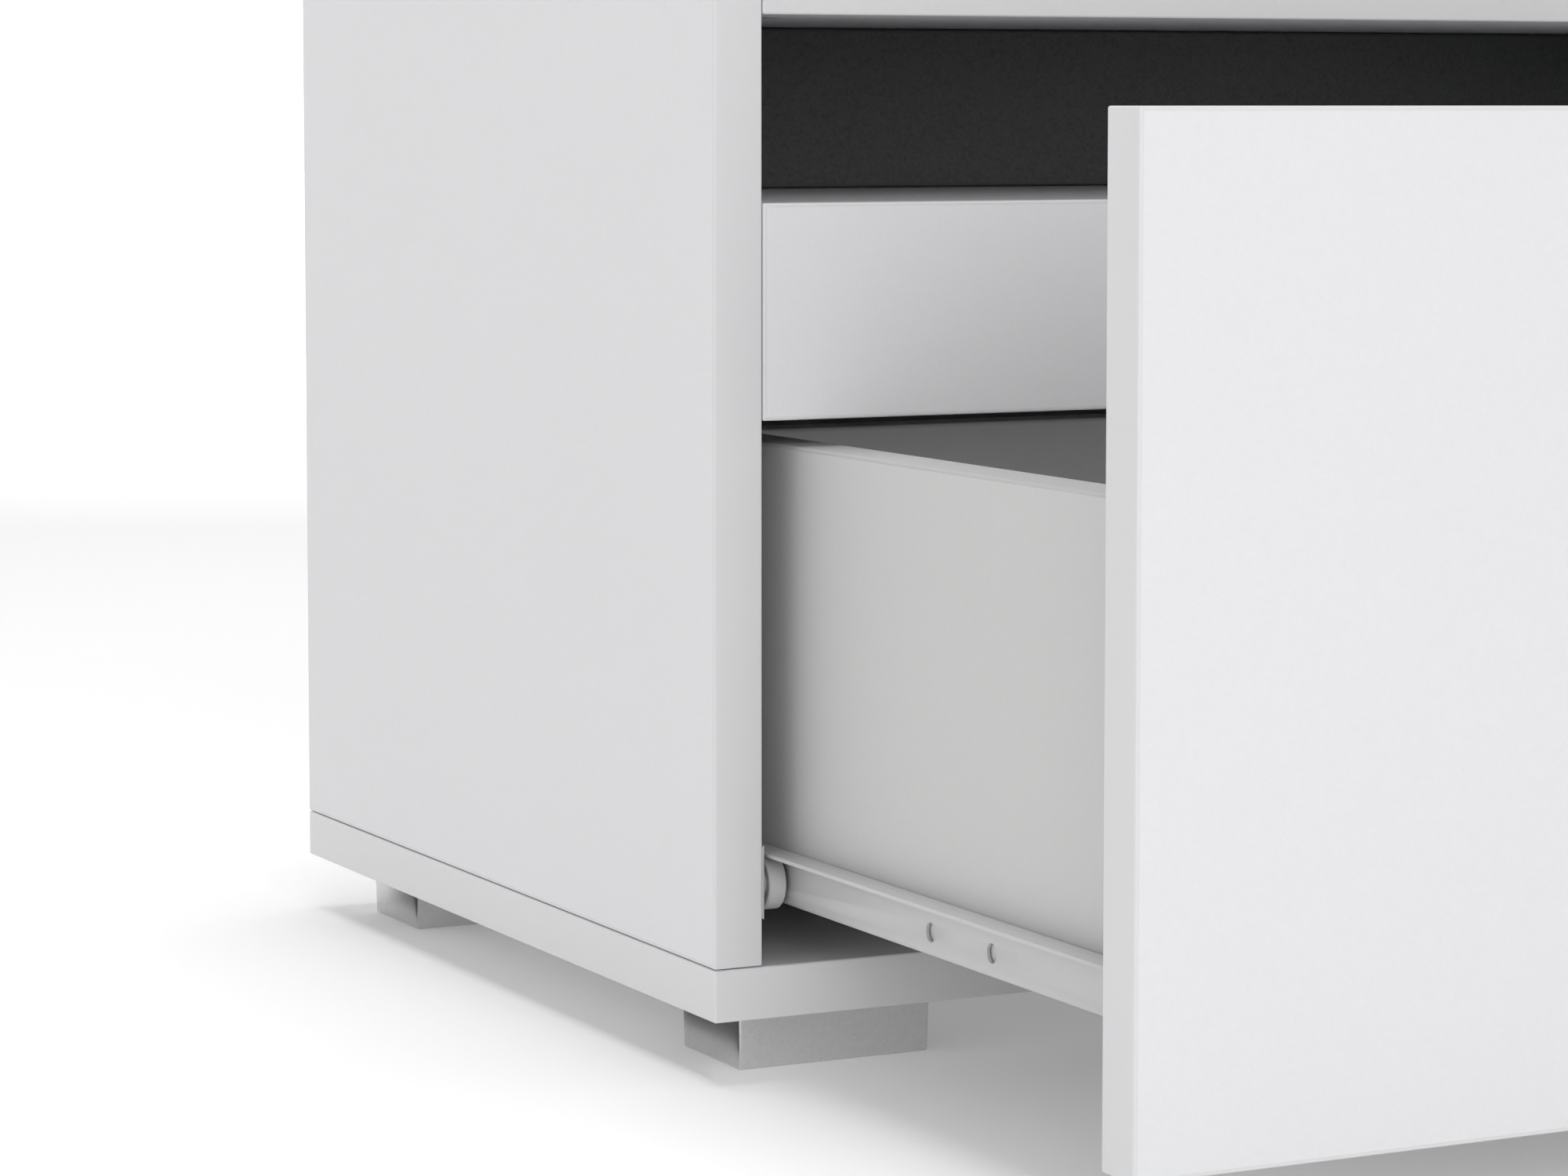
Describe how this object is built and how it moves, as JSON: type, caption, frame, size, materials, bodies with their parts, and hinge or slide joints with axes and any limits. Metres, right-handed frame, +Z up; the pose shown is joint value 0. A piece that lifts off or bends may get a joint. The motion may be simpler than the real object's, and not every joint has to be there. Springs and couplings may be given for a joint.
{
  "type": "under-desk drawer cabinet",
  "caption": "Low under-desk cabinet on block feet with a handleless drawer on roller slides and a grip recess above the front.",
  "frame": {"origin": "on the floor, in the middle of the bounding box with the drawer open", "axes": "+X to the right along the front, +Y to the back, +Z up"},
  "size_m": [0.5, 0.586, 0.338],
  "materials": {
    "white_board": "satin, fine pearl grain",
    "drawer_board": "satin, fine grain",
    "anthracite_board": "satin, leather grain",
    "white_steel": "satin powder coat",
    "roller_plastic": "satin",
    "silver_plastic": "metallised, satin",
    "zinc": "zinc plated"
  },
  "bodies": {
    "cabinet": {"bottom_panel": "white_board", "cabinet_rail_left": "white_steel", "cabinet_rail_right": "white_steel", "cabinet_rail_screw_left_front": "zinc", "cabinet_rail_screw_left_rear": "zinc", "cabinet_rail_screw_right_front": "zinc", "cabinet_rail_screw_right_rear": "zinc", "cabinet_roller_pin_left": "zinc", "cabinet_roller_pin_right": "zinc", "cam_bolt_left_front": "zinc", "cam_bolt_left_rear": "zinc", "cam_bolt_right_front": "zinc", "cam_bolt_right_rear": "zinc", "cam_drum_left_front": "zinc", "cam_drum_left_rear": "zinc", "cam_drum_right_front": "zinc", "cam_drum_right_rear": "zinc", "foot_front_left": "silver_plastic", "foot_front_right": "silver_plastic", "foot_rear_left": "silver_plastic", "foot_rear_right": "silver_plastic", "foot_screw_front_left": "zinc", "foot_screw_front_right": "zinc", "foot_screw_rear_left": "zinc", "foot_screw_rear_right": "zinc", "grip_ledge": "white_board", "grip_rail": "white_board", "rear_panel": "white_board", "recess_panel": "anthracite_board", "side_panel_left": "white_board", "side_panel_right": "white_board", "top_panel": "white_board"},
    "drawer": {"cam_bolt_drawer_left_lower": "zinc", "cam_bolt_drawer_left_upper": "zinc", "cam_bolt_drawer_right_lower": "zinc", "cam_bolt_drawer_right_upper": "zinc", "cam_drum_drawer_left_lower": "zinc", "cam_drum_drawer_left_upper": "zinc", "cam_drum_drawer_right_lower": "zinc", "cam_drum_drawer_right_upper": "zinc", "drawer_back": "drawer_board", "drawer_bottom": "drawer_board", "drawer_front": "white_board", "drawer_rail_left": "white_steel", "drawer_rail_right": "white_steel", "drawer_rail_screw_left_front": "zinc", "drawer_rail_screw_left_rear": "zinc", "drawer_rail_screw_right_front": "zinc", "drawer_rail_screw_right_rear": "zinc", "drawer_roller_pin_left": "zinc", "drawer_roller_pin_right": "zinc", "drawer_side_left": "drawer_board", "drawer_side_right": "drawer_board"},
    "cabinet_roller_left": {"cabinet_roller_left": "roller_plastic"},
    "drawer_roller_left": {"drawer_roller_left": "roller_plastic"},
    "cabinet_roller_right": {"cabinet_roller_right": "roller_plastic"},
    "drawer_roller_right": {"drawer_roller_right": "roller_plastic"}
  },
  "joints": [
    {"name": "drawer_slide", "type": "slide", "parent": "cabinet", "child": "drawer", "axis": [0, -1, 0], "range_m": [-0.2235, 0]},
    {"name": "cabinet_roller_left_spin", "type": "hinge", "parent": "cabinet", "child": "cabinet_roller_left", "pos_m": [-0.234, -0.041, 0.0599], "axis": [1, 0, 0], "range_deg": [-1509, 5]},
    {"name": "drawer_roller_left_spin", "type": "hinge", "parent": "drawer", "child": "drawer_roller_left", "pos_m": [-0.234, 0.0123, 0.0599], "axis": [1, 0, 0], "range_deg": [-1509, 5]},
    {"name": "cabinet_roller_right_spin", "type": "hinge", "parent": "cabinet", "child": "cabinet_roller_right", "pos_m": [0.234, -0.041, 0.0599], "axis": [1, 0, 0], "range_deg": [-1509, 5]},
    {"name": "drawer_roller_right_spin", "type": "hinge", "parent": "drawer", "child": "drawer_roller_right", "pos_m": [0.234, 0.0123, 0.0599], "axis": [1, 0, 0], "range_deg": [-1509, 5]}
  ],
  "couplings": [
    {"joint": "cabinet_roller_left_spin", "follows": "drawer_slide", "rad_per_m": 117.65},
    {"joint": "drawer_roller_left_spin", "follows": "drawer_slide", "rad_per_m": 117.65},
    {"joint": "cabinet_roller_right_spin", "follows": "drawer_slide", "rad_per_m": 117.65},
    {"joint": "drawer_roller_right_spin", "follows": "drawer_slide", "rad_per_m": 117.65}
  ]
}
